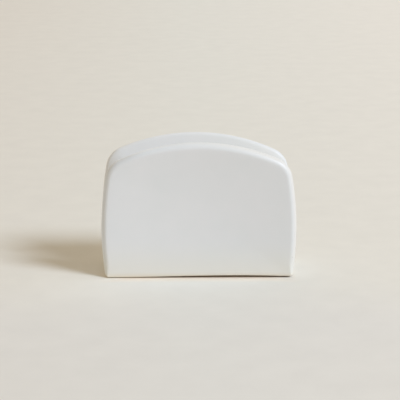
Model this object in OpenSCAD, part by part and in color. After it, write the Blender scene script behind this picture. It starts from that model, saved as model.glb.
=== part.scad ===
// White porcelain napkin holder: two upright leaves with arched tops, luted to a low base.
// Front is -Y, right is +X, and the origin is on the table under the middle of the holder.

/* [Leaves] */
// Width of a leaf at its widest point
leaf_w = 130; // [100:1:180]
// Height of the crown of the arch above the table
leaf_h = 91.8; // [75:1:130]
// Thickness of a leaf inside its rim
leaf_t = 11.25; // [8:0.25:14]
// How far the outer face is drawn in at its middle
dish_t = 1.5; // [0:0.1:2.5]
// Height of the middle of that dish above the table
dish_z = 45; // [30:1:60]
// Radius of the arched top
arch_r = 127.5; // [100:0.5:240]
// Radius of the shoulder between the arch and the side
shoulder_r = 16.2; // [8:0.1:24]
// Radius of the bowed side
side_r = 223; // [180:1:900]
// Height of the widest point above the table
belly_z = 31; // [15:0.5:45]
// Radius of the lower corner
corner_r = 2.5; // [2.2:0.1:6]

/* [Soft rim] */
// Depth of the rim's crest behind the outer face
crest_y = 4; // [3:0.25:5]
// How far the rounding of the outer face reaches in from the outline
outer_roll = 4; // [1.5:0.25:6]
// Radius of the rounding from the crest to the slope of the inner face
inner_roll = 3; // [1.5:0.25:4]
// How far in from the outline the slope of the inner face runs straight
slope_w = 9; // [6:0.5:14]
// Width over which that slope runs out into the inner face
ease_w = 6; // [3:0.5:10]
// Height over which the slope grows, above the base
slope_fade = 24; // [12:1:36]
// How far the rounding of the lower edge reaches up
edge_roll = 0.7; // [0.5:0.1:2]
// Height over which the lower edge's rounding grows to the rim's full size
roll_fade = 9; // [4:0.5:20]

/* [Base] */
// Clear width of the napkin slot between the leaves
slot_w = 18.5; // [16:0.5:50]
// Height of the slot's floor above the table
floor_z = 13; // [10:0.5:20]
// Thickness of the floor
floor_t = 6; // [4:0.5:8]
// How far the base stands in from the lower corners of the leaves, at each end
base_inset = 6; // [4:0.5:25]
// Radius of the floor's upper end edges
end_r = 3; // [1:0.25:3.5]
// Width of the foot ring's wall
foot_wall = 4; // [3:0.25:5]
// Radius of the foot ring's inner corners
foot_in_r = 2; // [0.5:0.25:2.5]
// Radius of the slip seam round the base
seam_r = 3; // [1:0.25:5]

/* [Firing] */
// How far the front arch leans to the right after firing
front_lean = 0.3; // [-3:0.1:3]
// How far the rear arch leans to the right after firing
rear_lean = -1.3; // [-3:0.1:3]
// How far the front leaf was luted on to the right of the rear one
stagger = 1; // [0:0.1:2]
// Least gap between a leaf's lower edge and the table
edge_gap = 0.1; // [0:0.05:1]
// How much higher the lower edge is where it is drawn up most
edge_rise = 1.05; // [0:0.05:1.2]

/* [Hidden] */

glaze = "#d9d9d6";
biscuit = "#e4dfd2";
$fn = 96;

// Where the lower edge is drawn up most, as a share of half its length
peak_share = 0.42;
// How far that rise runs out to the near corner, as a share of its run to the far one
short_run_share = 0.68;
// Where the dish's rings lie, as shares of the way from its middle to the rim
dish_shares = [0.2, 0.4, 0.6, 0.75, 0.9];

arch_steps = 13;
shoulder_steps = 9;
side_steps = 13;
corner_steps = 5;
edge_steps = 16;
rim_steps = 6;
roll_steps = 5;
ease_steps = 4;

half_w = leaf_w / 2;
leaf_y = (slot_w + leaf_t) / 2;
inner_t = leaf_t - crest_y;
slope_run = slope_w + ease_w / 2 - inner_roll;
slope = acos(inner_roll / norm([inner_t, slope_run])) - atan2(slope_run, inner_t);
slope_t = inner_t - tan(slope) * ease_w / 2;
slope_z = floor_z + seam_r;
// Half width and half height of the oval that the dish's rings take at its middle
dish_a = half_w - outer_roll;
dish_b = dish_z - edge_roll;
side_x = half_w - side_r;
edge_half = side_x + sqrt(side_r * side_r - belly_z * belly_z) - corner_r;
base_half = edge_half + corner_r - base_inset;
foot_h = floor_z - floor_t;
seam_z = edge_gap + edge_rise + edge_roll;
over = 1;

// Where two circles meet, on the upper side of the line from c to d
function meet(c, rc, d, rd) =
    let (v = d - c, l = norm(v), a = (rc * rc - rd * rd + l * l) / (2 * l), h = sqrt(rc * rc - a * a))
    c + v * a / l + (v.x > 0 ? [-v.y, v.x] : [v.y, -v.x]) * h / l;

// Direction from c to p, in degrees
function heading(c, p) = atan2(p.y - c.y, p.x - c.x);

// Points of an arc from angle a to b, without its first, each with its outward direction
function arc(c, r, a, b, steps) =
    [for (i = [1:steps]) let (t = a + (b - a) * i / steps, n = [cos(t), sin(t)]) [c + r * n, n]];

// Height of the lower edge at u, from -1 at its left end to 1 at its right end
function edge_z(u) =
    let (run = (1 + peak_share) * (u < peak_share ? 1 : short_run_share), s = (u - peak_share) / run)
    edge_gap + edge_rise * pow(cos(90 * s), 2);

// Right half of the outline, from the crown down to the lower corner; turn is -1 for an edge that peaks on the left
function half_outline(lean, turn) =
    let (
        c1 = [lean, leaf_h - arch_r],
        c2 = [side_x, belly_z],
        c3 = meet(c1, arch_r - shoulder_r, c2, side_r - shoulder_r),
        z4 = corner_r + edge_z(turn),
        c4 = [side_x + sqrt(pow(side_r - corner_r, 2) - pow(z4 - belly_z, 2)), z4],
        a1 = heading(c1, c3), a2 = heading(c2, c3), a3 = heading(c2, c4)
    )
    concat(
        arc(c1, arch_r, 90, a1, arch_steps),
        arc(c3, shoulder_r, a1, a2, shoulder_steps),
        arc(c2, side_r, a2, a3, side_steps),
        arc(c4, corner_r, a3, -90, corner_steps)
    );

function mirrored(pts) = [for (p = pts) [[-p[0].x, p[0].y], [-p[1].x, p[1].y]]];
function backwards(pts) = [for (i = [len(pts) - 1:-1:0]) pts[i]];

// Whole outline, clockwise from the crown
function outline(lean, turn) =
    let (
        right = half_outline(lean, turn),
        left = mirrored(half_outline(-lean, -turn)),
        r = right[len(right) - 1][0], l = left[len(left) - 1][0]
    )
    concat(
        [[[lean, leaf_h], [0, 1]]],
        right,
        [for (i = [1:edge_steps - 1])
            let (x = r.x + (l.x - r.x) * i / edge_steps, down = [0, -1]) [[x, edge_z(turn * x / edge_half)], down]],
        backwards(left)
    );

// A smooth step from 0 to 1 as s goes from 0 to 1
function eased(s) = let (t = min(1, max(0, s))) t * t * (3 - 2 * t);

// How far the rounding reaches in at height z: the lower edge's own, growing to the rim's
function reach(z, roll) = edge_roll + (roll - edge_roll) * eased((z - corner_r) / roll_fade);

// Section of the inner face from the rim's crest, each point as its way in from the outline and its depth
inner_section = concat(
    [for (k = [1:roll_steps]) let (t = (90 - slope) * k / roll_steps) inner_roll * [1 - cos(t), sin(t)]],
    [[slope_w, slope_t]],
    [for (k = [1:ease_steps])
        let (u = k / ease_steps, rise = ease_w * tan(slope) * (u - u * u / 2)) [slope_w + ease_w * u, slope_t + rise]]
);

// Ring of a leaf round its outer rounding, at t degrees from the outer face towards the crest
function outer_ring(pts, t) =
    let (y = crest_y * (1 - cos(t)))
    [for (p = pts) let (q = p[0] - p[1] * reach(p[0].y, outer_roll) * (1 - sin(t))) [q.x, y, q.y]];

// Ring of a leaf's dished outer face, at a share of the way from the dish's middle to the rim, oval at the middle
function dish_ring(pts, share) =
    [for (p = outer_ring(pts, 0))
        let (
            t = atan2((p.z - dish_z) / dish_b, p.x / dish_a),
            oval = [dish_a * cos(t), dish_b * sin(t)],
            q = share * (oval + ([p.x, p.z - dish_z] - oval) * share * share)
        )
        [q.x, dish_t * (1 - share * share), dish_z + q.y]];

// Ring of a leaf's inner side through a point of its section, which narrows to a plain rounding beside the base
function inner_ring(pts, q) =
    [for (p = pts)
        let (
            plain = reach(p[0].y, inner_roll) * (1 - sqrt(max(0, 1 - pow(q.y / inner_t, 2)))),
            s = plain + (q.x - plain) * eased((p[0].y - slope_z) / slope_fade),
            r = p[0] - p[1] * s
        )
        [r.x, crest_y + q.y, r.y]];

// A leaf as a loft, from the middle of its dish over the rim to the inner face
module leaf(lean, turn) {
    pts = outline(lean, turn);
    n = len(pts);
    rings = concat(
        [for (share = dish_shares) dish_ring(pts, share)],
        [for (k = [0:rim_steps]) outer_ring(pts, 90 * k / rim_steps)],
        [for (q = inner_section) inner_ring(pts, q)]
    );
    last = len(rings) - 1;
    polyhedron(
        points = [for (r = rings, p = r) p],
        faces = concat(
            [[for (i = [0:n - 1]) i]],
            [for (j = [0:last - 1], i = [0:n - 1]) let (k = (i + 1) % n) [j * n + i, j * n + n + i, j * n + n + k]],
            [for (j = [0:last - 1], i = [0:n - 1]) let (k = (i + 1) % n) [j * n + i, j * n + n + k, j * n + k]],
            [[for (i = [n:-1:1]) last * n + i % n]]
        )
    );
}

// Stands what is drawn in the XY plane up on the XZ plane and gives it its depth, centred on Y
module upright(depth) {
    translate([0, depth / 2, 0]) rotate([90, 0, 0]) linear_extrude(depth) children();
}

module front_leaf() {
    color(glaze) translate([stagger / 2, -leaf_y - leaf_t / 2, 0]) leaf(front_lean, 1);
}

module rear_leaf() {
    color(glaze) translate([-stagger / 2, leaf_y + leaf_t / 2, 0]) rotate([0, 0, 180]) leaf(-rear_lean, 1);
}

// Floor of the slot, butted between the leaves, with rounded upper end edges
module trough_floor() {
    color(glaze) upright(slot_w) {
        translate([-base_half, foot_h]) square([2 * base_half, floor_t - end_r]);
        translate([-base_half + end_r, foot_h]) square([2 * (base_half - end_r), floor_t]);
        for (side = [-1, 1])
            translate([side * (base_half - end_r), floor_z - end_r]) circle(end_r);
    }
}

// Ring under the floor that the holder stands on, with the hollow inside it
module foot_ring() {
    in_x = 2 * (base_half - foot_wall);
    in_y = slot_w - 2 * foot_wall;
    color(biscuit) difference() {
        translate([-base_half, -slot_w / 2, 0]) cube([2 * base_half, slot_w, foot_h]);
        translate([0, 0, -over]) linear_extrude(foot_h + 2 * over) {
            square([in_x, in_y - 2 * foot_in_r], center = true);
            square([in_x - 2 * foot_in_r, in_y], center = true);
            for (x = [-1, 1], y = [-1, 1])
                translate([x * (in_x / 2 - foot_in_r), y * (in_y / 2 - foot_in_r)]) circle(foot_in_r);
        }
    }
}

// Section of the slip seam: a hollow fillet between a wall and what stands on it
module cove() {
    difference() {
        square(seam_r);
        translate([seam_r, seam_r]) circle(seam_r);
    }
}

// Slip seam round the base on the leaf's inner face, up one end, along the floor and down the other end
module seam() {
    top = floor_z;
    bend_z = floor_z - end_r;
    bend_x = base_half - end_r;
    rotate([90, 0, 90]) translate([0, 0, -bend_x]) linear_extrude(2 * bend_x) translate([0, top]) cove();
    for (side = [0, 1]) mirror([side, 0, 0]) {
        translate([base_half, 0, seam_z]) linear_extrude(bend_z - seam_z) cove();
        translate([bend_x, 0, bend_z]) rotate([90, 0, 0]) mirror([0, 0, 1])
            rotate_extrude(angle = 90) translate([end_r, 0]) cove();
    }
}

module front_seam() {
    color(glaze) translate([0, -slot_w / 2, 0]) seam();
}

module rear_seam() {
    color(glaze) mirror([0, 1, 0]) translate([0, -slot_w / 2, 0]) seam();
}

front_leaf();
rear_leaf();
trough_floor();
foot_ring();
front_seam();
rear_seam();
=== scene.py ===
"""Glazed porcelain napkin holder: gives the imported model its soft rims, glaze and bare foot, and lights it."""
import math

import bmesh
import bpy
from bpy.props import FloatProperty, FloatVectorProperty, IntProperty, PointerProperty
from bpy.types import Operator, Panel, PropertyGroup
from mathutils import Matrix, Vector


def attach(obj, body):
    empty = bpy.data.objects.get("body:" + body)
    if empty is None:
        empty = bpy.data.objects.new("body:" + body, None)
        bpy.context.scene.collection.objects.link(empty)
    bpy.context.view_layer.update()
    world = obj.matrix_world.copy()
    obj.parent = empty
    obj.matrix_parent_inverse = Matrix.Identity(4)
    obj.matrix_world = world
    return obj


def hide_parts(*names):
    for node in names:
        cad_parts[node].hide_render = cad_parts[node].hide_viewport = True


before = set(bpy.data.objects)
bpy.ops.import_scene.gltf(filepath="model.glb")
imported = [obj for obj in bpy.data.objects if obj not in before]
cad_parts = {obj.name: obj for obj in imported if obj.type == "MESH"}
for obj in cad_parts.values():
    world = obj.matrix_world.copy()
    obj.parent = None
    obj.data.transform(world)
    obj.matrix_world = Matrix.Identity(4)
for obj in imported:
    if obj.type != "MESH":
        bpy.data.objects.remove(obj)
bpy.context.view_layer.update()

bl_info = {
    "name": "Porcelain Napkin Holder",
    "version": (1, 0, 0),
    "blender": (4, 5, 0),
    "location": "3D View > Sidebar > Napkin Holder",
    "description": "Dresses a napkin holder of glazed porcelain and sets it on a lit table",
    "category": "Object",
}

MM = 0.001

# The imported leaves' own rounding
CREST = 4 * MM  # depth of the crest behind the outer face
EDGE_REACH = 0.7 * MM  # how far the rounding reaches in at the lower edge
RIM_REACH = 4 * MM  # how far it reaches in at the rim
CORNER = 2.5 * MM  # radius of a lower corner
GROWTH = 9 * MM  # height over which the one reach grows to the other

# Where a leaf's lower corners are
LOW_BAND = 6 * MM  # what lies below this gives the middle of the leaf's width
CORNER_OUT = 56 * MM  # the corners lie further out from that middle than this
SAME_HEIGHT = 0.02 * MM  # heights closer than this are one level

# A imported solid's triangles: how near points are one, how flat faces merge, and what pairs join into a face
SAME_POINT = 0.005 * MM
FLAT = math.radians(0.05)
JOINED_BEND = math.radians(40)
JOINED_SKEW = math.radians(60)

# The foot ring's standing edges: how low they lie, the least bend across them in radians, and the steps round them
STANDING = 0.01 * MM
SHARP = 0.5
FETTLED_STEPS = 4

# Where each mark on a leaf starts and where it is full. Facing out is 1 on the outer face, 0 on the crest and -1 in
# the slot; facing up is 1 on the arch's top; turned is the angle from straight down.
THIN_BY_SLOT = (-0.25, 0.25)
THIN_BY_FACE = (1.0, 0.7)
IN_SLOT = (-0.3, -0.8)
FACING_UP = (0.2, 0.8)
ARCH_LEFT = (-30 * MM, -50 * MM)
ARCH_LEAST = 0.15  # the mark's share along the rest of the arch
LEAST_LEAN = 0.05  # a surface that leans less than this faces neither up nor sideways
BARE_TURN = (math.radians(22), math.radians(7))
PAINTED_SHADE_TURN = (math.radians(-2.8), math.radians(11.2))  # straight down gets a little less of the painted shade
PAINTED_SHADE_BLEND = math.radians(15)

# Sockets of a Mix node, whose names repeat: its two numbers, its two colours and the mixed colour
NUMBER_A, NUMBER_B, COLOUR_A, COLOUR_B, MIXED = 2, 3, 6, 7, 2

# Parts of a noise's range over which a pattern goes from none to full
CLOUD_SPAN = (0.35, 0.7)
SHADE_SPAN = (0.3, 0.6)
DRIFT_SPAN = (0.3, 0.7)

# Glaze and body
PORCELAIN_IOR = 1.5
PAINTED_SHADE_SIDE = 60 * MM  # the painted shade grows from this far on the left to this far on the right
CLOUD = 34 * MM  # width of the clouds of tone
CLOUD_SHARE = 0.22  # how far a cloud turns to pooled glaze
FLOOR_POOL, SEAM_POOL, FOOT_POOL = 0.2, 0.7, 0.3  # how far all the glaze there turns to pooled glaze
LOW_BOUNCE_SHARE = 0.9  # how far the glaze at the table turns to the painted warm bounce
SPECK_CELL = 7 * MM  # a cell of this width may hold a speck
SPECK_CORE, SPECK_EDGE = 0.018, 0.034  # a speck's solid middle and soft edge, in cells
SPECK_RARE = 0.95  # share of the cells that hold none
SLAB, SLAB_RISE = 26 * MM, 0.12 * MM  # width and height of the slab's unevenness
PEEL_RISE = 0.012 * MM  # height of the orange peel
SHEEN_PATCH = 18 * MM  # width of the patches that reflect more or less softly
SHEEN_LESS, SHEEN_MORE = 0.04, 0.05  # how far their roughness falls and rises

# Painted shade and bare body along a leaf's lower edge
SHADE_PATCH = 5 * MM  # width of the patches where the painted shade is stronger or weaker
SHADE_PATCHY = 0.7  # share of the painted shade in the weakest patches
SHADE_ALONG = (-48 * MM, -5 * MM)  # the painted shade grows from left to right between these
SHADE_LEAST = 0.05  # its share at the left end
WIPED = (0.6 * MM, 3.8 * MM)  # the wiped glaze thickens between these heights
WIPED_SHARE = 0.6  # how far it shows the body below them
EDGE_ROUGHNESS = 0.85

# Foot ring
WAVER, WAVER_RISE = 9 * MM, 0.5 * MM  # width and height of the glaze line's waver
GLAZE_LIP = 0.3 * MM  # height over which the glaze thins out at that line
SCUFF_PATCH = 6 * MM  # width of the patches that are scuffed more or less
SCUFFED = (0.05 * MM, 0.8 * MM)  # the scuffing fades between these heights
SCUFF_SHARE = 0.35
BISCUIT_ROUGHNESS = 0.82
GRAIN_RISE = 0.06 * MM  # height of the fired grain
GLAZED_GRAIN = 0.1  # share of it that shows through the glaze

# Table, in metres where no unit is named
TABLE_RADIUS, TABLE_SIDES = 6.0, 96
TABLE_RUN = 0.3  # distance to the side at which the painted shade on the left and the painted light on the right are full
TABLE_FRONT = (-0.12, -0.02)  # the painted shade in front fades between these depths
NEAR_EDGE = (20 * MM, 32 * MM)  # the painted light at the holder fades between these distances from its middle
NEAR_LENGTHWISE, NEAR_ENDS = 0.4, 4 * MM  # along the leaf a distance counts by this share, with this added
MOTTLE, MOTTLE_SHARE = 22 * MM, 0.015  # width and strength of the roller's mottle
NAP, NAP_RISE = 1.2 * MM, 0.02 * MM  # width and height of the roller's nap

# Camera: pixels across the picture, and millimetres across the sensor
FRAME_PIXELS = 400
SENSOR_WIDTH = 36.0


def linear(code):
    """Turns an sRGB hex colour into linear red, green and blue."""
    parts = [int(code[i:i + 2], 16) / 255 for i in (1, 3, 5)]
    return tuple(p / 12.92 if p <= 0.04045 else ((p + 0.055) / 1.055) ** 2.4 for p in parts)


def opaque(colour):
    """Adds full cover to red, green and blue, as a colour socket wants it."""
    return (*colour, 1.0)


class LeafSizes(PropertyGroup):
    """Corners, painted edge shade and smoothing of the two leaves"""
    corner_reach: FloatProperty(
        name="Corner rounding", description="How far the rounding of the outer face reaches in round a lower corner",
        default=2.3 * MM, min=0.7 * MM, max=2.4 * MM, precision=5, unit="LENGTH")
    corner_growth: FloatProperty(
        name="Corner growth", description="Height over which that rounding grows to the rim's full size",
        default=4 * MM, min=1 * MM, max=9 * MM, precision=5, unit="LENGTH")
    # Painted shade: the brown lower edge stands in for the shade where the leaf meets the table
    painted_shade_turn: FloatProperty(
        name="Worn edge", description="How far round from straight down the lower edge is worn and browned",
        default=math.radians(35), min=0.0, max=math.radians(90), subtype="ANGLE", unit="ROTATION")
    levels: IntProperty(
        name="Smoothing levels", description="Subdivision levels that round the leaf's rim and corners",
        default=2, min=0, max=3)


class FootSizes(PropertyGroup):
    """Sizes of the foot ring's fettled edges and glaze line"""
    fettled_edge: FloatProperty(
        name="Fettled edge", description="Width of the rounding that the sponge leaves on the standing edges",
        default=0.7 * MM, min=0.0, max=1.5 * MM, precision=5, unit="LENGTH")
    glaze_line: FloatProperty(
        name="Glaze line", description="Height up to which the glaze is wiped off the foot",
        default=2.4 * MM, min=0.0, max=6 * MM, precision=5, unit="LENGTH")


class GlazeFinish(PropertyGroup):
    """Colours and surface of the glaze"""
    body: FloatVectorProperty(
        name="Glaze", description="Colour of the white body seen through the clear glaze",
        default=linear("#ecebea"), size=3, min=0.0, max=1.0, subtype="COLOR")
    # Painted shade: the glaze darkens towards the right
    painted_shade_right: FloatVectorProperty(
        name="Glaze, right", description="Colour that the same glaze turns to on the right, where less air reached it",
        default=linear("#e9e8e7"), size=3, min=0.0, max=1.0, subtype="COLOR")
    # Partly thin glaze over the rims, partly a painted tone for the light that the rims catch
    thin: FloatVectorProperty(
        name="Thin glaze", description="Colour over the rims, where the glaze runs thin and the body shows whiter",
        default=linear("#ebeef0"), size=3, min=0.0, max=1.0, subtype="COLOR")
    # Painted shade along the up-facing left of the arch
    thin_painted_shade_above: FloatVectorProperty(
        name="Thin glaze, arch", description="The same along the left of the arch, where it faces up and is greyer",
        default=linear("#dfe0e0"), size=3, min=0.0, max=1.0, subtype="COLOR")
    # Painted shade on the rims' right end, darker and warmer
    thin_painted_shade_right: FloatVectorProperty(
        name="Thin glaze, right", description="The same at the right end, where the firing leaves it warmer",
        default=linear("#e9e5de"), size=3, min=0.0, max=1.0, subtype="COLOR")
    # Painted light inside the slot, which makes the slot whiter than its shade
    inner: FloatVectorProperty(
        name="Glaze in the slot", description="Colour inside the slot, where it is dipped twice and comes out whiter",
        default=linear("#f0f0f0"), size=3, min=0.0, max=1.0, subtype="COLOR")
    # The slot's painted light, darker and warmer at the right end
    inner_painted_light_right: FloatVectorProperty(
        name="Glaze in the slot, right", description="The same at the right end",
        default=linear("#e9e6e0"), size=3, min=0.0, max=1.0, subtype="COLOR")
    # Painted warm bounce from the table, low on the glaze
    low: FloatVectorProperty(
        name="Glaze, low", description="Colour low down, where the glaze is wiped thin and the warmer body shows",
        default=linear("#ebe8df"), size=3, min=0.0, max=1.0, subtype="COLOR")
    low_bounce_reach: FloatProperty(
        name="Low reach", description="Height above the table at which that warmer tone has gone",
        default=28 * MM, min=2 * MM, max=90 * MM, precision=5, unit="LENGTH")
    pooled: FloatVectorProperty(
        name="Pooled glaze", description="Colour in the seams, where the glaze gathers thick and turns cooler",
        default=linear("#dbe0de"), size=3, min=0.0, max=1.0, subtype="COLOR")
    speck: FloatVectorProperty(
        name="Iron speck", description="Colour of the few iron specks that fire through the glaze",
        default=linear("#9a8f80"), size=3, min=0.0, max=1.0, subtype="COLOR")
    roughness: FloatProperty(
        name="Roughness", description="Roughness of the satin surface",
        default=0.41, min=0.0, max=1.0, subtype="FACTOR")
    peel: FloatProperty(
        name="Orange peel", description="Width of the fine ripples that the glaze sets in",
        default=2.5 * MM, min=0.5 * MM, max=8 * MM, precision=5, unit="LENGTH")


class BiscuitFinish(PropertyGroup):
    """Colours and surface of the unglazed body"""
    body: FloatVectorProperty(
        name="Biscuit", description="Colour of the bare fired body",
        default=linear("#e6dac1"), size=3, min=0.0, max=1.0, subtype="COLOR")
    # Scuffing on the foot, and painted shade on the leaves' lower edges
    scuffed_and_painted_shade: FloatVectorProperty(
        name="Scuffed edge", description="Colour of the edges that stand on or near the table, browned by use",
        default=linear("#6f4f2a"), size=3, min=0.0, max=1.0, subtype="COLOR")
    grain: FloatProperty(
        name="Grain", description="Width of the fired grain that a fingertip feels",
        default=0.5 * MM, min=0.1 * MM, max=2 * MM, precision=5, unit="LENGTH")


class TableAndLight(PropertyGroup):
    """Table, lamps and camera"""
    table: FloatVectorProperty(
        name="Table", description="Colour of the table",
        default=linear("#ebe7dd"), size=3, min=0.0, max=1.0, subtype="COLOR")
    # Painted shade: the table darkens to the left
    table_left_painted_shade: FloatVectorProperty(
        name="Table, left", description="Colour that the table turns to on its left",
        default=linear("#e4dcd0"), size=3, min=0.0, max=1.0, subtype="COLOR")
    # Painted light: the table lightens to the right
    table_right_painted_light: FloatVectorProperty(
        name="Table, right", description="Colour that the table turns to on its right",
        default=linear("#f3ede3"), size=3, min=0.0, max=1.0, subtype="COLOR")
    # Painted shade in front of the holder, a little cooler
    table_front_painted_shade: FloatVectorProperty(
        name="Table, front", description="Shares of red, green and blue that the table keeps in front of the holder",
        default=(0.975, 0.979, 1.005), size=3, min=0.0, max=2.0)
    # Painted warm light on the table by the front leaf's edge
    table_near_painted_light: FloatVectorProperty(
        name="Table, at the holder", description="Shares of red, green and blue that it keeps by the front leaf's edge",
        default=(1.07, 0.97, 0.89), size=3, min=0.0, max=2.0)
    key_power: FloatProperty(
        name="Key lamp", description="Strength of the key lamp, in watts per square metre",
        default=2.57, min=0.0, max=20.0)
    key_colour: FloatVectorProperty(
        name="Key colour", description="Colour of the key lamp's light",
        default=(0.702, 0.825, 1.0), size=3, min=0.0, max=1.0, subtype="COLOR")
    key_side: FloatProperty(
        name="Key side", description="How far the key lamp stands round from the front to the right",
        default=math.radians(58.8), subtype="ANGLE", unit="ROTATION")
    key_height: FloatProperty(
        name="Key height", description="How high the key lamp stands, as an angle above the table",
        default=math.radians(38.7), subtype="ANGLE", unit="ROTATION")
    key_width: FloatProperty(
        name="Key width", description="How wide the key lamp looks from the table, which sets how soft its shadow is",
        default=math.radians(21), subtype="ANGLE", unit="ROTATION")
    fill_power: FloatProperty(
        name="Fill lamp", description="Strength of the wide lamp behind on the left, in watts per square metre",
        default=0.5, min=0.0, max=20.0)
    fill_colour: FloatVectorProperty(
        name="Fill colour", description="Colour of the wide lamp's light",
        default=(1.0, 0.88, 0.7), size=3, min=0.0, max=1.0, subtype="COLOR")
    fill_side: FloatProperty(
        name="Fill side", description="How far the wide lamp stands round from the front to the right",
        default=math.radians(-160), subtype="ANGLE", unit="ROTATION")
    fill_height: FloatProperty(
        name="Fill height", description="How high the wide lamp stands, as an angle above the table",
        default=math.radians(36), subtype="ANGLE", unit="ROTATION")
    fill_width: FloatProperty(
        name="Fill width", description="How wide the wide lamp looks from the table",
        default=math.radians(90), subtype="ANGLE", unit="ROTATION")
    room: FloatVectorProperty(
        name="Room", description="Light that the room gives from all round",
        default=(0.406, 0.357, 0.284), size=3, min=0.0, max=1.0, subtype="COLOR")
    backdrop: FloatVectorProperty(
        name="Backdrop", description="Colour seen past the edge of the table and in reflections",
        default=linear("#dfdbd0"), size=3, min=0.0, max=1.0, subtype="COLOR")
    aim: FloatVectorProperty(
        name="Camera aim", description="Point that the camera looks at",
        default=(0.00134, 0.0, 0.04846), size=3, precision=5, subtype="XYZ", unit="LENGTH")
    distance: FloatProperty(
        name="Camera distance", description="How far the camera stands from that point",
        default=1.002, precision=5, unit="LENGTH")
    azimuth: FloatProperty(
        name="Camera azimuth", description="How far the camera stands round from the front",
        default=math.radians(-0.68), subtype="ANGLE", unit="ROTATION")
    elevation: FloatProperty(
        name="Camera elevation", description="How far the camera looks down",
        default=math.radians(14.94), subtype="ANGLE", unit="ROTATION")
    focal_pixels: FloatProperty(
        name="Focal length", description="Focal length in pixels of the square picture",
        default=1486.2, min=100.0)


def add(tree, kind, links=None, values=None, **settings):
    """Adds a node with its settings, its sockets' values and its links."""
    made = tree.nodes.new(kind)
    for key, value in settings.items():
        setattr(made, key, value)
    for key, value in (values or {}).items():
        made.inputs[key].default_value = value
    for key, source in (links or {}).items():
        tree.links.new(source, made.inputs[key])
    return made


def blank(name):
    """Starts a material: gives it, its empty tree and the point on the piece that its patterns read."""
    made = bpy.data.materials.new(name)
    made.use_nodes = True
    made.node_tree.nodes.clear()
    point = add(made.node_tree, "ShaderNodeTexCoord").outputs["Object"]
    return made, made.node_tree, point


def glaze_colour(tree, point, finish, pool):
    """Colour of the glaze: cloudy, painted darker towards the right, thin over the rims with painted tones, with
    painted light in the slot, a painted warm bounce low down, and rarely specked.
    """
    place = add(tree, "ShaderNodeSeparateXYZ", {"Vector": point})
    side = add(tree, "ShaderNodeMapRange", {"Value": place.outputs["X"]},
               {"From Min": -PAINTED_SHADE_SIDE, "From Max": PAINTED_SHADE_SIDE}, interpolation_type="SMOOTHSTEP")
    # One coat outside with painted shade towards the right, and painted light in the slot
    even = add(tree, "ShaderNodeMix", {"Factor": side.outputs[0]},
               {COLOUR_A: opaque(finish.body), COLOUR_B: opaque(finish.painted_shade_right)}, data_type="RGBA")
    slot = add(tree, "ShaderNodeAttribute", attribute_name="slot_painted_light")
    painted_slot_tone = add(tree, "ShaderNodeMix", {"Factor": side.outputs[0]},
                 {COLOUR_A: opaque(finish.inner), COLOUR_B: opaque(finish.inner_painted_light_right)}, data_type="RGBA")
    coat = add(tree, "ShaderNodeMix", {
        "Factor": slot.outputs["Fac"], COLOUR_A: even.outputs[MIXED], COLOUR_B: painted_slot_tone.outputs[MIXED],
    }, data_type="RGBA")
    # Clouds, and pools where the glaze gathers
    cloud = add(tree, "ShaderNodeTexNoise", {"Vector": point}, {"Scale": 1 / CLOUD, "Detail": 3.0, "Roughness": 0.55})
    gather = add(tree, "ShaderNodeMapRange", {"Value": cloud.outputs["Fac"]}, {
        "From Min": CLOUD_SPAN[0], "From Max": CLOUD_SPAN[1], "To Min": pool, "To Max": pool + CLOUD_SHARE,
    })
    base = add(tree, "ShaderNodeMix", {"Factor": gather.outputs[0], COLOUR_A: coat.outputs[MIXED]},
               {COLOUR_B: opaque(finish.pooled)}, data_type="RGBA")
    # Thin glaze over the rims, its tones partly painted: painted shade along the arch's up-facing left and at the right
    # end
    rim = add(tree, "ShaderNodeAttribute", attribute_name="thin_glaze_painted_tone")
    arch = add(tree, "ShaderNodeAttribute", attribute_name="rim_painted_shade_above")
    left = add(tree, "ShaderNodeMix", {"Factor": arch.outputs["Fac"]},
               {COLOUR_A: opaque(finish.thin), COLOUR_B: opaque(finish.thin_painted_shade_above)}, data_type="RGBA")
    crest = add(tree, "ShaderNodeMix", {"Factor": side.outputs[0], COLOUR_A: left.outputs[MIXED]},
                {COLOUR_B: opaque(finish.thin_painted_shade_right)}, data_type="RGBA")
    thin = add(tree, "ShaderNodeMix", {
        "Factor": rim.outputs["Fac"], COLOUR_A: base.outputs[MIXED], COLOUR_B: crest.outputs[MIXED],
    }, data_type="RGBA")
    # Painted warm bounce from the table, low down
    low = add(tree, "ShaderNodeMapRange", {"Value": place.outputs["Z"]},
              {"From Min": 0.0, "From Max": finish.low_bounce_reach, "To Min": LOW_BOUNCE_SHARE, "To Max": 0.0},
              interpolation_type="SMOOTHSTEP")
    wiped = add(tree, "ShaderNodeMix", {"Factor": low.outputs[0], COLOUR_A: thin.outputs[MIXED]},
                {COLOUR_B: opaque(finish.low)}, data_type="RGBA")
    # A speck in the middle of a rare cell
    cells = add(tree, "ShaderNodeTexVoronoi", {"Vector": point}, {"Scale": 1 / SPECK_CELL, "Randomness": 1.0})
    dot = add(tree, "ShaderNodeMapRange", {"Value": cells.outputs["Distance"]},
              {"From Min": SPECK_CORE, "From Max": SPECK_EDGE, "To Min": 1.0, "To Max": 0.0})
    lot = add(tree, "ShaderNodeSeparateColor", {"Color": cells.outputs["Color"]})
    rare = add(tree, "ShaderNodeMath", {0: lot.outputs["Red"]}, {1: SPECK_RARE}, operation="GREATER_THAN")
    fired = add(tree, "ShaderNodeMath", {0: dot.outputs[0], 1: rare.outputs[0]}, operation="MULTIPLY")
    return add(tree, "ShaderNodeMix", {"Factor": fired.outputs[0], COLOUR_A: wiped.outputs[MIXED]},
               {COLOUR_B: opaque(finish.speck)}, data_type="RGBA").outputs[MIXED]


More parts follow.
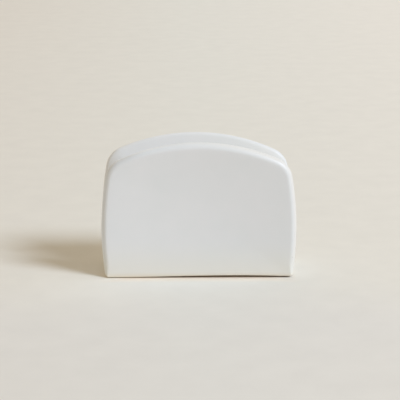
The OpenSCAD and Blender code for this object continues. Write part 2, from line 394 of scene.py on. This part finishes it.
def glaze_ripple(tree, point, finish):
    """Surface of the glaze: the slab's slow unevenness under fine orange peel."""
    slow = add(tree, "ShaderNodeTexNoise", {"Vector": point}, {"Scale": 1 / SLAB, "Detail": 1.0})
    slab = add(tree, "ShaderNodeBump", {"Height": slow.outputs["Fac"]}, {"Strength": 1.0, "Distance": SLAB_RISE})
    fine = add(tree, "ShaderNodeTexNoise", {"Vector": point}, {"Scale": 1 / finish.peel, "Detail": 1.0})
    return add(tree, "ShaderNodeBump", {"Height": fine.outputs["Fac"], "Normal": slab.outputs[0]},
               {"Strength": 1.0, "Distance": PEEL_RISE}).outputs[0]


def glaze_sheen(tree, point, finish):
    """Roughness of the satin glaze, which firing leaves a little uneven."""
    drift = add(tree, "ShaderNodeTexNoise", {"Vector": point}, {"Scale": 1 / SHEEN_PATCH, "Detail": 2.0})
    return add(tree, "ShaderNodeMapRange", {"Value": drift.outputs["Fac"]}, {
        "From Min": DRIFT_SPAN[0], "From Max": DRIFT_SPAN[1],
        "To Min": finish.roughness - SHEEN_LESS, "To Max": finish.roughness + SHEEN_MORE,
    }).outputs[0]


def glazed_porcelain(name, finish, bare, pool=0.0):
    """Porcelain, glost fired: a white, softly reflecting skin, bare underneath, with painted brown shade on the lower
    edge where it meets the table.
    """
    made, tree, point = blank(name)
    place = add(tree, "ShaderNodeSeparateXYZ", {"Vector": point})
    # Painted shade on the lower edge, in patches that grow from left to right
    patch_noise = add(tree, "ShaderNodeTexNoise", {"Vector": point},
               {"Scale": 1 / SHADE_PATCH, "Detail": 4.0, "Roughness": 0.6})
    patchy = add(tree, "ShaderNodeMapRange", {"Value": patch_noise.outputs["Fac"]},
                 {"From Min": SHADE_SPAN[0], "From Max": SHADE_SPAN[1], "To Min": SHADE_PATCHY, "To Max": 1.0})
    edge = add(tree, "ShaderNodeAttribute", attribute_name="edge_painted_shade")
    along = add(tree, "ShaderNodeMapRange", {"Value": place.outputs["X"]},
                {"From Min": SHADE_ALONG[0], "From Max": SHADE_ALONG[1], "To Min": SHADE_LEAST, "To Max": 1.0},
                interpolation_type="SMOOTHSTEP")
    shade_share = add(tree, "ShaderNodeMath", {0: patchy.outputs[0], 1: along.outputs[0]}, operation="MULTIPLY")
    painted_shade = add(tree, "ShaderNodeMath", {0: edge.outputs["Fac"], 1: shade_share.outputs[0]}, operation="MULTIPLY")
    # Bare body underneath, and a wiped strip just above it
    wiped = add(tree, "ShaderNodeMapRange", {"Value": place.outputs["Z"]},
                {"From Min": WIPED[0], "From Max": WIPED[1], "To Min": WIPED_SHARE, "To Max": 0.0})
    under = add(tree, "ShaderNodeAttribute", attribute_name="edge_bare")
    unglazed = add(tree, "ShaderNodeMath", {0: wiped.outputs[0], 1: under.outputs["Fac"]}, operation="MAXIMUM")
    cream = add(tree, "ShaderNodeMix", {
        "Factor": unglazed.outputs[0], COLOUR_A: glaze_colour(tree, point, finish, pool),
    }, {COLOUR_B: opaque(bare.body)}, data_type="RGBA")
    colour = add(tree, "ShaderNodeMix", {"Factor": painted_shade.outputs[0], COLOUR_A: cream.outputs[MIXED]},
                 {COLOUR_B: opaque(bare.scuffed_and_painted_shade)}, data_type="RGBA")
    matt = add(tree, "ShaderNodeMath", {0: painted_shade.outputs[0], 1: under.outputs["Fac"]}, operation="MAXIMUM")
    sheen = add(tree, "ShaderNodeMix", {"Factor": matt.outputs[0], NUMBER_A: glaze_sheen(tree, point, finish)},
                {NUMBER_B: EDGE_ROUGHNESS})
    skin = add(tree, "ShaderNodeBsdfPrincipled", {
        "Base Color": colour.outputs[MIXED],
        "Roughness": sheen.outputs[0],
        "Normal": glaze_ripple(tree, point, finish),
    }, {"IOR": PORCELAIN_IOR})
    add(tree, "ShaderNodeOutputMaterial", {"Surface": skin.outputs[0]})
    return made


def fettled_porcelain(name, bare, glaze, sizes):
    """Porcelain wiped and sponged before firing: matt and faintly sandy up to a wavering line of glaze."""
    made, tree, point = blank(name)
    place = add(tree, "ShaderNodeSeparateXYZ", {"Vector": point})
    # How far a point is glazed
    waver = add(tree, "ShaderNodeTexNoise", {"Vector": point}, {"Scale": 1 / WAVER, "Detail": 2.0})
    line = add(tree, "ShaderNodeMapRange", {"Value": waver.outputs["Fac"]},
               {"To Min": -WAVER_RISE - sizes.glaze_line, "To Max": WAVER_RISE - sizes.glaze_line})
    above = add(tree, "ShaderNodeMath", {0: place.outputs["Z"], 1: line.outputs[0]}, operation="ADD")
    glazed = add(tree, "ShaderNodeMapRange", {"Value": above.outputs[0]}, {"From Min": 0.0, "From Max": GLAZE_LIP})
    # Biscuit, scuffed in patches where it stands
    patch_noise = add(tree, "ShaderNodeTexNoise", {"Vector": point},
               {"Scale": 1 / SCUFF_PATCH, "Detail": 4.0, "Roughness": 0.6})
    scuff = add(tree, "ShaderNodeMapRange", {"Value": place.outputs["Z"]},
                {"From Min": SCUFFED[0], "From Max": SCUFFED[1], "To Min": SCUFF_SHARE, "To Max": 0.0})
    patchy = add(tree, "ShaderNodeMath", {0: scuff.outputs[0], 1: patch_noise.outputs["Fac"]}, operation="MULTIPLY")
    biscuit = add(tree, "ShaderNodeMix", {"Factor": patchy.outputs[0]},
                  {COLOUR_A: opaque(bare.body), COLOUR_B: opaque(bare.scuffed_and_painted_shade)}, data_type="RGBA")
    colour = add(tree, "ShaderNodeMix", {
        "Factor": glazed.outputs[0], COLOUR_A: biscuit.outputs[MIXED],
        COLOUR_B: glaze_colour(tree, point, glaze, FOOT_POOL),
    }, data_type="RGBA")
    sheen = add(tree, "ShaderNodeMapRange", {"Value": glazed.outputs[0]},
                {"To Min": BISCUIT_ROUGHNESS, "To Max": glaze.roughness})
    # Fired grain, which the glaze fills
    sand = add(tree, "ShaderNodeTexNoise", {"Vector": point},
               {"Scale": 1 / bare.grain, "Detail": 3.0, "Roughness": 0.7})
    lift = add(tree, "ShaderNodeMapRange", {"Value": glazed.outputs[0]}, {"To Min": 1.0, "To Max": GLAZED_GRAIN})
    height = add(tree, "ShaderNodeMath", {0: sand.outputs["Fac"], 1: lift.outputs[0]}, operation="MULTIPLY")
    grain = add(tree, "ShaderNodeBump", {"Height": height.outputs[0]}, {"Strength": 1.0, "Distance": GRAIN_RISE})
    skin = add(tree, "ShaderNodeBsdfPrincipled", {
        "Base Color": colour.outputs[MIXED],
        "Roughness": sheen.outputs[0],
        "Normal": grain.outputs[0],
    }, {"IOR": PORCELAIN_IOR})
    add(tree, "ShaderNodeOutputMaterial", {"Surface": skin.outputs[0]})
    return made


def painted_board(name, look):
    """Rolled matt paint on a board: pale and warm, with painted light and shade across it and the roller's faint
    mottle.
    """
    made, tree, point = blank(name)
    place = add(tree, "ShaderNodeSeparateXYZ", {"Vector": point})
    # Painted shade to the left and painted light to the right
    right = add(tree, "ShaderNodeMapRange", {"Value": place.outputs["X"]},
                {"From Min": 0.0, "From Max": TABLE_RUN, "To Min": 0.0, "To Max": 1.0})
    left = add(tree, "ShaderNodeMapRange", {"Value": place.outputs["X"]},
               {"From Min": -TABLE_RUN, "From Max": 0.0, "To Min": 1.0, "To Max": 0.0})
    warm = add(tree, "ShaderNodeMix", {"Factor": right.outputs[0]},
               {COLOUR_A: opaque(look.table), COLOUR_B: opaque(look.table_right_painted_light)}, data_type="RGBA")
    dim = add(tree, "ShaderNodeMix", {"Factor": left.outputs[0], COLOUR_A: warm.outputs[MIXED]},
              {COLOUR_B: opaque(look.table_left_painted_shade)}, data_type="RGBA")
    # Painted shade in front of the holder, a little cooler
    front = add(tree, "ShaderNodeMapRange", {"Value": place.outputs["Y"]},
                {"From Min": TABLE_FRONT[0], "From Max": TABLE_FRONT[1], "To Min": 1.0, "To Max": 0.0},
                interpolation_type="SMOOTHSTEP")
    keep = add(tree, "ShaderNodeMix", {"Factor": front.outputs[0]},
               {COLOUR_A: (1.0, 1.0, 1.0, 1.0), COLOUR_B: opaque(look.table_front_painted_shade)}, data_type="RGBA")
    # Painted warm light by the front leaf's edge, in a band that fades out round the leaf's ends
    folded = add(tree, "ShaderNodeVectorMath", {0: point}, operation="ABSOLUTE")
    beyond = add(tree, "ShaderNodeVectorMath", {0: folded.outputs[0]},
                 {1: (NEAR_LENGTHWISE, 1.0, 1.0), 2: (NEAR_ENDS, 0.0, 0.0)}, operation="MULTIPLY_ADD")
    apart = add(tree, "ShaderNodeSeparateXYZ", {"Vector": beyond.outputs[0]})
    reach = add(tree, "ShaderNodeMath", {0: apart.outputs["X"], 1: apart.outputs["Y"]}, operation="MAXIMUM")
    patch = add(tree, "ShaderNodeMapRange", {"Value": reach.outputs[0]},
                {"From Min": NEAR_EDGE[0], "From Max": NEAR_EDGE[1], "To Min": 1.0, "To Max": 0.0},
                interpolation_type="SMOOTHSTEP")
    ahead = add(tree, "ShaderNodeMath", {0: place.outputs["Y"]}, {1: 0.0}, operation="LESS_THAN")
    near = add(tree, "ShaderNodeMath", {0: patch.outputs[0], 1: ahead.outputs[0]}, operation="MULTIPLY")
    closer = add(tree, "ShaderNodeMix", {"Factor": near.outputs[0], COLOUR_A: keep.outputs[MIXED]},
                 {COLOUR_B: opaque(look.table_near_painted_light)}, data_type="RGBA")
    toned = add(tree, "ShaderNodeVectorMath", {0: dim.outputs[MIXED], 1: closer.outputs[MIXED]}, operation="MULTIPLY")
    # What the roller leaves
    mottle = add(tree, "ShaderNodeTexNoise", {"Vector": point}, {"Scale": 1 / MOTTLE, "Detail": 4.0})
    value = add(tree, "ShaderNodeMapRange", {"Value": mottle.outputs["Fac"]}, {
        "From Min": DRIFT_SPAN[0], "From Max": DRIFT_SPAN[1],
        "To Min": 1 - MOTTLE_SHARE, "To Max": 1 + MOTTLE_SHARE,
    })
    colour = add(tree, "ShaderNodeVectorMath", {0: toned.outputs[0], "Scale": value.outputs[0]}, operation="SCALE")
    nap = add(tree, "ShaderNodeTexNoise", {"Vector": point}, {"Scale": 1 / NAP, "Detail": 2.0})
    bump = add(tree, "ShaderNodeBump", {"Height": nap.outputs["Fac"]}, {"Strength": 1.0, "Distance": NAP_RISE})
    skin = add(tree, "ShaderNodeBsdfPrincipled", {"Base Color": colour.outputs[0], "Normal": bump.outputs[0]},
               {"Roughness": 0.9, "IOR": 1.45, "Specular IOR Level": 0.2})
    add(tree, "ShaderNodeOutputMaterial", {"Surface": skin.outputs[0]})
    return made


def cast(name):
    """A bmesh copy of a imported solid, with its loose triangles merged and joined back into whole faces."""
    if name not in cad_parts:
        raise RuntimeError(f"The packed model has no piece named {name}")
    bm = bmesh.new()
    bm.from_mesh(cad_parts[name].data)
    bmesh.ops.remove_doubles(bm, verts=bm.verts, dist=SAME_POINT)
    bmesh.ops.dissolve_limit(bm, angle_limit=FLAT, verts=bm.verts, edges=bm.edges, use_dissolve_boundaries=False)
    bmesh.ops.join_triangles(bm, faces=[f for f in bm.faces if len(f.verts) == 3],
                             angle_face_threshold=JOINED_BEND, angle_shape_threshold=JOINED_SKEW)
    return bm


def fire(bm, name, material, stands_for, smooth=True):
    """Makes the finished piece of a bmesh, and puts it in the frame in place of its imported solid."""
    mesh = bpy.data.meshes.new(name)
    bm.to_mesh(mesh)
    bm.free()
    mesh.materials.append(material)
    for face in mesh.polygons:
        face.use_smooth = smooth
    piece = bpy.data.objects.new(name, mesh)
    bpy.context.scene.collection.objects.link(piece)
    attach(piece, "root")
    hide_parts(stands_for)
    return piece


def fade(value, start, full):
    """Share of the way from start to full, from 0 to 1."""
    return min(1.0, max(0.0, (value - start) / (full - start)))


def eased(value, start, full):
    """The same share, with a soft beginning and end."""
    part = fade(value, start, full)
    return part ** 2 * (3 - 2 * part)


def sponge_corners(bm, way, sizes):
    """Carries the outer face's rounding down round the lower corners, where a sponge takes the sharp edge off."""
    outer = min(way * vertex.co.y for vertex in bm.verts)
    ends = [vertex.co.x for vertex in bm.verts if vertex.co.z < LOW_BAND]
    middle = (min(ends) + max(ends)) / 2
    for side in (-1, 1):
        rim = [v for v in bm.verts if side * (v.co.x - middle) > CORNER_OUT
               and v.co.z < CORNER + GROWTH and way * v.co.y - outer < CREST]
        if not rim:
            raise RuntimeError("A lower corner of a leaf isn't where the packed model has it")
        low = min(v.co.z for v in rim)
        centre = Vector((side * max(side * v.co.x for v in rim if v.co.z < low + SAME_HEIGHT), 0, low + CORNER))
        for vertex in rim:
            inward = 1 - math.sin(math.acos(1 - (way * vertex.co.y - outer) / CREST))
            height = vertex.co.z - centre.z
            if height > 0:
                packed = EDGE_REACH + (RIM_REACH - EDGE_REACH) * eased(vertex.co.z, CORNER, CORNER + GROWTH)
                wanted = sizes.corner_reach + (RIM_REACH - sizes.corner_reach) * eased(height, 0, sizes.corner_growth)
                vertex.co.x -= side * inward * max(0.0, wanted - packed)
            elif side * (vertex.co.x - centre.x) > 0:
                arm = Vector((vertex.co.x - centre.x, 0, height))
                out = (arm.x / arm.length) ** 2
                wanted = EDGE_REACH + (sizes.corner_reach - EDGE_REACH) * out
                arm *= (CORNER - wanted * inward) / (CORNER - EDGE_REACH * inward)
                vertex.co.x, vertex.co.z = centre.x + arm.x, centre.z + arm.z


def mark_rim(piece, way, sizes):
    """Marks the thin glaze round the outer rim, the painted shade along the arch's up-facing left, the painted light on
    the slot's side, the bare underside and the painted shade on the lower edge.
    """
    marks = {"thin_glaze_painted_tone": [], "rim_painted_shade_above": [], "slot_painted_light": [], "edge_painted_shade": [], "edge_bare": []}
    half = PAINTED_SHADE_BLEND / 2
    for vertex in piece.data.vertices:
        normal = vertex.normal
        out = -way * normal.y
        up = normal.z / max(LEAST_LEAN, math.hypot(normal.x, normal.z))
        turned = math.acos(max(-1.0, min(1.0, -normal.z)))
        # Thin glaze over the rim, whose colours also carry a painted tone
        marks["thin_glaze_painted_tone"].append(min(fade(out, *THIN_BY_SLOT), fade(out, *THIN_BY_FACE)))
        # Painted shade along the arch's up-facing left
        marks["rim_painted_shade_above"].append(fade(up, *FACING_UP) * max(ARCH_LEAST, eased(vertex.co.x, *ARCH_LEFT)))
        # Painted light on the slot's side
        marks["slot_painted_light"].append(fade(out, *IN_SLOT))
        # Painted shade on the lower edge
        marks["edge_painted_shade"].append(fade(turned, sizes.painted_shade_turn + half, sizes.painted_shade_turn - half) * fade(turned, *PAINTED_SHADE_TURN))
        marks["edge_bare"].append(fade(turned, *BARE_TURN))
    for name, values in marks.items():
        piece.data.attributes.new(name, "FLOAT", "POINT").data.foreach_set("value", values)


def stand(scene, name, data, side, height, aim=(0.0, 0.0, 0.0), distance=1.0):
    """Stands a lamp or camera round from the front by one angle and up by the other, turned towards its aim."""
    back = Vector((math.sin(side) * math.cos(height), -math.cos(side) * math.cos(height), math.sin(height)))
    made = bpy.data.objects.new(name, data)
    made.rotation_mode = "QUATERNION"
    made.rotation_quaternion = back.to_track_quat("Z", "Y")
    made.location = Vector(aim) + back * distance
    scene.collection.objects.link(made)
    return made


class HOLDER_OT_leaves(Operator):
    """Gives both leaves their smooth rims, their glaze and the painted shade on their lower edges"""
    bl_idname = "holder.leaves"
    bl_label = "Leaves"

    def execute(self, context):
        scene = context.scene
        sizes = scene.holder_leaves
        # Slip cast and dipped: a white satin that thins over the rims, with painted light and shade in its tones on the
        # rims, in the slot, low down, towards the right and on the lower edge
        glaze = glazed_porcelain("Glazed porcelain, slip cast", scene.holder_glaze, scene.holder_biscuit)
        for name, way in (("front_leaf", 1), ("rear_leaf", -1)):
            bm = cast(name)
            sponge_corners(bm, way, sizes)
            piece = fire(bm, name + "_glazed", glaze, name)
            mark_rim(piece, way, sizes)
            smooth = piece.modifiers.new("Slip-cast softness", "SUBSURF")
            smooth.levels = smooth.render_levels = sizes.levels
        return {"FINISHED"}


class HOLDER_OT_trough(Operator):
    """Glazes the trough's floor and the slip seams along it"""
    bl_idname = "holder.trough"
    bl_label = "Trough and seams"

    def execute(self, context):
        finish, bare = context.scene.holder_glaze, context.scene.holder_biscuit
        # Pressed slab: the glaze lies a little thicker on it, so it looks a little cooler
        floor = glazed_porcelain("Glazed porcelain, pressed slab", finish, bare, pool=FLOOR_POOL)
        # Slip seam: the glaze runs down into it, so it has the coolest tone
        seam = glazed_porcelain("Glazed porcelain, pooled in a seam", finish, bare, pool=SEAM_POOL)
        for name, material in (("trough_floor", floor), ("front_seam", seam), ("rear_seam", seam)):
            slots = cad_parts[name].material_slots
            if not slots:
                raise RuntimeError(f"{name} has no material slot")
            for slot in slots:
                slot.material = material
        return {"FINISHED"}


class HOLDER_OT_foot(Operator):
    """Rounds the foot ring's standing edges and leaves them bare of glaze"""
    bl_idname = "holder.foot"
    bl_label = "Foot ring"

    def execute(self, context):
        scene = context.scene
        sizes = scene.holder_foot
        bm = cast("foot_ring")
        low = [e for e in bm.edges if all(v.co.z < STANDING for v in e.verts) and e.calc_face_angle(0) > SHARP]
        if not low:
            raise RuntimeError("The foot ring has no standing edge to fettle")
        bmesh.ops.bevel(bm, geom=low, offset=sizes.fettled_edge, segments=FETTLED_STEPS, profile=0.5,
                        affect="EDGES", material=-1)
        material = fettled_porcelain("Biscuit porcelain, fettled", scene.holder_biscuit, scene.holder_glaze, sizes)
        fire(bm, "foot_ring_fettled", material, "foot_ring", smooth=False)
        return {"FINISHED"}


class HOLDER_OT_stage(Operator):
    """Lays the table, lights it and places the camera"""
    bl_idname = "holder.stage"
    bl_label = "Table, lamps and camera"

    def execute(self, context):
        scene, look = context.scene, context.scene.holder_stage
        self.lay_table(scene, look)
        self.light(scene, look)
        self.place_camera(scene, look)
        scene.view_settings.view_transform = "Standard"
        # Keeps the highlights on the glaze as tight as its roughness makes them
        scene.cycles.blur_glossy = 0.0
        return {"FINISHED"}

    def lay_table(self, scene, look):
        bm = bmesh.new()
        bmesh.ops.create_circle(bm, cap_ends=True, segments=TABLE_SIDES, radius=TABLE_RADIUS)
        mesh = bpy.data.meshes.new("table")
        bm.to_mesh(mesh)
        bm.free()
        mesh.materials.append(painted_board("Matt paint, rolled", look))
        table = bpy.data.objects.new("table", mesh)
        scene.collection.objects.link(table)

    def light(self, scene, look):
        lamps = (
            ("Key lamp", look.key_power, look.key_colour, look.key_width, look.key_side, look.key_height),
            ("Fill lamp", look.fill_power, look.fill_colour, look.fill_width, look.fill_side, look.fill_height),
        )
        for name, power, colour, width, side, height in lamps:
            sun = bpy.data.lights.new(name, "SUN")
            sun.energy, sun.color, sun.angle = power, colour, width
            stand(scene, name, sun, side, height)
        world = bpy.data.worlds.new("Room")
        scene.world = world
        world.use_nodes = True
        tree = world.node_tree
        tree.nodes.clear()
        room = add(tree, "ShaderNodeBackground", values={"Color": opaque(look.room), "Strength": 1.0})
        seen = add(tree, "ShaderNodeBackground", values={"Color": opaque(look.backdrop), "Strength": 1.0})
        path = add(tree, "ShaderNodeLightPath")
        mirrored = add(tree, "ShaderNodeMath", {
            0: path.outputs["Is Glossy Ray"], 1: path.outputs["Is Transmission Ray"],
        }, operation="MAXIMUM")
        shown = add(tree, "ShaderNodeMath", {
            0: path.outputs["Is Camera Ray"], 1: mirrored.outputs[0],
        }, operation="MAXIMUM")
        both = add(tree, "ShaderNodeMixShader", {0: shown.outputs[0], 1: room.outputs[0], 2: seen.outputs[0]})
        add(tree, "ShaderNodeOutputWorld", {"Surface": both.outputs[0]})

    def place_camera(self, scene, look):
        lens = bpy.data.cameras.new("Camera")
        lens.sensor_width = SENSOR_WIDTH
        lens.lens = look.focal_pixels * SENSOR_WIDTH / FRAME_PIXELS
        scene.camera = stand(scene, "Camera", lens, look.azimuth, look.elevation, look.aim, look.distance)


class HOLDER_PT_sidebar(Panel):
    """Sizes, colours and steps of the napkin holder"""
    bl_label = "Napkin Holder"
    bl_idname = "HOLDER_PT_sidebar"
    bl_space_type = "VIEW_3D"
    bl_region_type = "UI"
    bl_category = "Napkin Holder"

    def draw(self, context):
        for title, group, step in PANEL_ROWS:
            box = self.layout.box()
            box.label(text=title)
            if group:
                settings = getattr(context.scene, group)
                for name in settings.__annotations__:
                    box.prop(settings, name)
            if step:
                box.operator(step)


PANEL_ROWS = (
    ("Glaze", "holder_glaze", None),
    ("Biscuit", "holder_biscuit", None),
    ("Leaves", "holder_leaves", "holder.leaves"),
    ("Trough and seams", None, "holder.trough"),
    ("Foot", "holder_foot", "holder.foot"),
    ("Table and light", "holder_stage", "holder.stage"),
)
GROUPS = {
    "holder_leaves": LeafSizes,
    "holder_foot": FootSizes,
    "holder_glaze": GlazeFinish,
    "holder_biscuit": BiscuitFinish,
    "holder_stage": TableAndLight,
}
CLASSES = (
    *GROUPS.values(),
    HOLDER_OT_leaves, HOLDER_OT_trough, HOLDER_OT_foot, HOLDER_OT_stage, HOLDER_PT_sidebar,
)


def register():
    for cls in CLASSES:
        bpy.utils.register_class(cls)
    for name, group in GROUPS.items():
        setattr(bpy.types.Scene, name, PointerProperty(type=group))


def unregister():
    for name in GROUPS:
        delattr(bpy.types.Scene, name)
    for cls in reversed(CLASSES):
        bpy.utils.unregister_class(cls)


def main():
    register()
    bpy.ops.holder.leaves()
    bpy.ops.holder.trough()
    bpy.ops.holder.foot()
    bpy.ops.holder.stage()
    bpy.context.view_layer.update()


if __name__ == "__main__":
    main()
